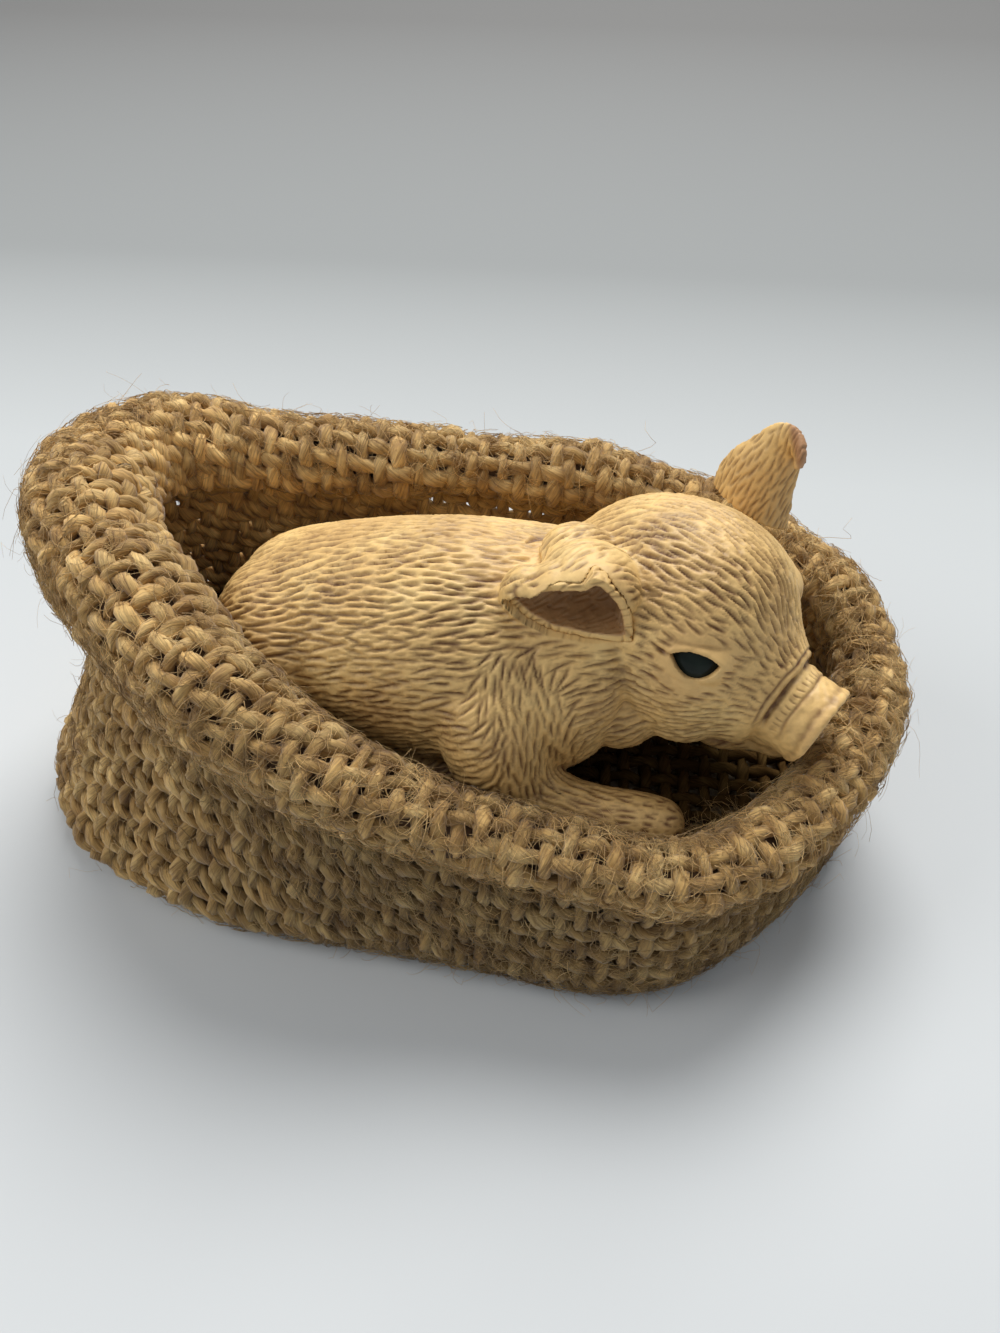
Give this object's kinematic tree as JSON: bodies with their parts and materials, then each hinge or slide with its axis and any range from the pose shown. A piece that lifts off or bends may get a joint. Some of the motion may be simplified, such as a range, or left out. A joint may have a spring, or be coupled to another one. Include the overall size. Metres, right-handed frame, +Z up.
{
  "type": "pig figurine in a hessian sack",
  "caption": "Resin piglet lying in a small hessian sack with a rolled mouth, its head turned and one ear up; the piglet lifts out of the sack.",
  "frame": {"origin": "on the flat surface that the sack stands on, under the middle of the sack's floor", "axes": "+X from the rump towards the snout, along the sack's longest side; -Y is the front, which the piglet's right side faces; +Z up"},
  "size_m": [0.098, 0.0547, 0.0476],
  "materials": {
    "hessian_cuff": "golden plump jute yarn, loosely twisted, with stray fibres",
    "hessian_wall": "duller, flatter jute plain weave",
    "hessian_inner": "shaded jute plain weave",
    "wadding": "loose fibre filling",
    "sewing_thread": "jute sewing thread",
    "painted_resin": "cast resin, carved short coat strokes under a brown wash, satin",
    "eye_gloss": "glossy near-black enamel"
  },
  "bodies": {
    "sack": {"rolled_cuff": "hessian_cuff", "front_panel": "hessian_wall", "rear_panel": "hessian_wall", "sack_floor": "hessian_wall", "inner_cloth": "hessian_inner", "stuffing": "wadding", "left_seam_stitches": "sewing_thread", "right_seam_stitches": "sewing_thread"},
    "piglet": {"piglet_body": "painted_resin", "piglet_head": "painted_resin", "snout": "painted_resin", "lower_jaw": "painted_resin", "right_ear": "painted_resin", "left_ear": "painted_resin", "right_eye": "eye_gloss", "left_eye": "eye_gloss", "right_foreleg": "painted_resin", "left_foreleg": "painted_resin", "right_hind_leg": "painted_resin", "left_hind_leg": "painted_resin", "tail": "painted_resin"}
  },
  "joints": [
    {"name": "piglet_lift", "type": "slide", "parent": "sack", "child": "piglet", "axis": [0, 0, 1], "range_m": [0, 0.06]}
  ]
}
